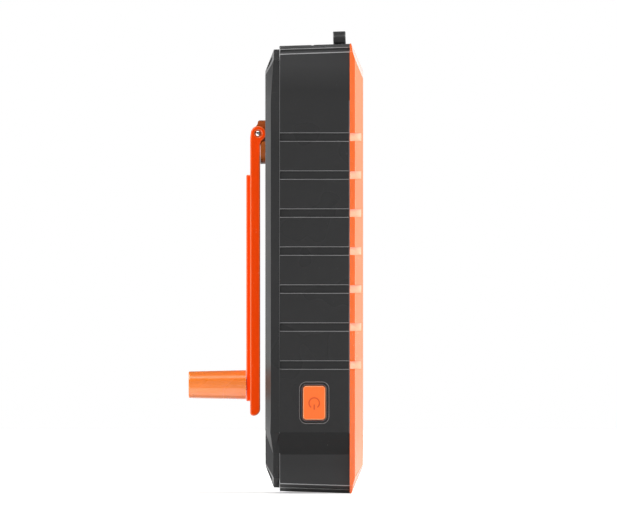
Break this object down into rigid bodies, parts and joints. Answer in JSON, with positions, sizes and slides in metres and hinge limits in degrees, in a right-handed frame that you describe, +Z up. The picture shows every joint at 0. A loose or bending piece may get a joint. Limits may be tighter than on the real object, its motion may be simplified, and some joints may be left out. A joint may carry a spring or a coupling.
{
  "type": "hand crank solar power bank",
  "caption": "Black power bank with an orange front frame round a solar panel, cross grooves on its sides, an orange power button and a folding orange hand crank on its back.",
  "frame": {"origin": "on the slanted base face, midway between the sides and midway between front and back", "axes": "+Z up along the housing, -Y out of the solar face, +Y out of the crank face, -X out of the side with the power button"},
  "size_m": [0.0803, 0.0624, 0.1649],
  "materials": {
    "black_plastic": "fine matt moulded plastic",
    "frame_orange": "satin moulded plastic",
    "crank_orange": "satin moulded plastic",
    "knob_orange": "smooth moulded plastic",
    "button_orange": "soft satin rubber",
    "black_rubber": "matt rubber",
    "steel": "polished",
    "plated_steel": "zinc plated",
    "brass": "turned",
    "clear_cover": "clear",
    "solar_cell": "dark blue, thin silver lines",
    "circuit_board": "green lacquer",
    "black_chip": "moulded",
    "light_guide": "milky",
    "gear_plastic": "moulded acetal",
    "cell_foil": "satin foil",
    "adhesive_tape": "foam tape",
    "foam": "closed-cell foam",
    "copper_wire": "enamelled",
    "iron_core": "stacked sheet"
  },
  "bodies": {
    "housing": {"front_frame": "frame_orange", "panel_cover": "clear_cover", "solar_cells": "solar_cell", "panel_board": "circuit_board", "panel_gasket": "black_rubber", "indicator_lights": "light_guide", "indicator_board": "circuit_board", "mid_shell": "black_plastic", "case_seal": "black_rubber", "back_cover": "black_plastic", "case_screws": "plated_steel", "hub_bush": "brass", "gear_plate": "plated_steel", "plate_screws": "plated_steel", "idler_shaft": "steel", "generator_can": "plated_steel", "generator_lid": "black_chip", "stator_core": "iron_core", "stator_coils": "copper_wire", "battery_front": "cell_foil", "battery_rear": "cell_foil", "battery_tapes": "adhesive_tape", "battery_foam": "foam", "main_board": "circuit_board", "board_screws": "plated_steel", "usb_shell": "plated_steel", "usb_tongue": "black_chip", "charge_socket": "plated_steel", "board_chips": "black_chip", "board_coil": "iron_core", "switch_board": "circuit_board", "tact_switch": "plated_steel", "cover_pin": "steel"},
    "port_cover": {"port_cover": "black_rubber"},
    "power_button": {"power_button": "button_orange", "switch_plunger": "black_plastic"},
    "crank": {"crank_hub": "crank_orange", "hub_shaft": "steel", "main_gear": "gear_plastic", "hub_clip": "plated_steel"},
    "crank_arm": {"crank_arm": "crank_orange", "crank_pin": "steel", "knob_axle": "steel", "knob_clip": "plated_steel"},
    "knob": {"knob": "knob_orange", "knob_cap": "knob_orange"},
    "idler": {"idler_gear": "gear_plastic"},
    "rotor": {"rotor_shaft": "steel", "rotor_magnet": "iron_core", "rotor_pinion": "brass"}
  },
  "joints": [
    {"name": "crank_spin", "type": "hinge", "parent": "housing", "child": "crank", "pos_m": [0, 0.0174, 0.1248], "axis": [0, 1, 0], "continuous": true},
    {"name": "crank_fold", "type": "hinge", "parent": "crank", "child": "crank_arm", "pos_m": [0, 0.01995, 0.12775], "axis": [1, 0, 0], "range_deg": [0, 165]},
    {"name": "knob_spin", "type": "hinge", "parent": "crank_arm", "child": "knob", "pos_m": [0, 0.0344, 0.0381], "axis": [0, 1, 0], "continuous": true},
    {"name": "idler_spin", "type": "hinge", "parent": "housing", "child": "idler", "pos_m": [0.02, 0.008, 0.1248], "axis": [0, 1, 0], "continuous": true},
    {"name": "rotor_spin", "type": "hinge", "parent": "housing", "child": "rotor", "pos_m": [0.01222, 0, 0.14148], "axis": [0, 1, 0], "continuous": true},
    {"name": "power_button_press", "type": "slide", "parent": "housing", "child": "power_button", "axis": [1, 0, 0], "range_m": [0, 0.0007], "stiffness_N_per_m": 400, "springref_m": -0.001},
    {"name": "port_cover_hinge", "type": "hinge", "parent": "housing", "child": "port_cover", "pos_m": [-0.0146, -0.00022, 0.15851], "axis": [-1, 0, 0], "range_deg": [0, 100]}
  ],
  "couplings": [
    {"joint": "idler_spin", "follows": "crank_spin", "ratio": -4},
    {"joint": "rotor_spin", "follows": "crank_spin", "ratio": 14.4}
  ]
}
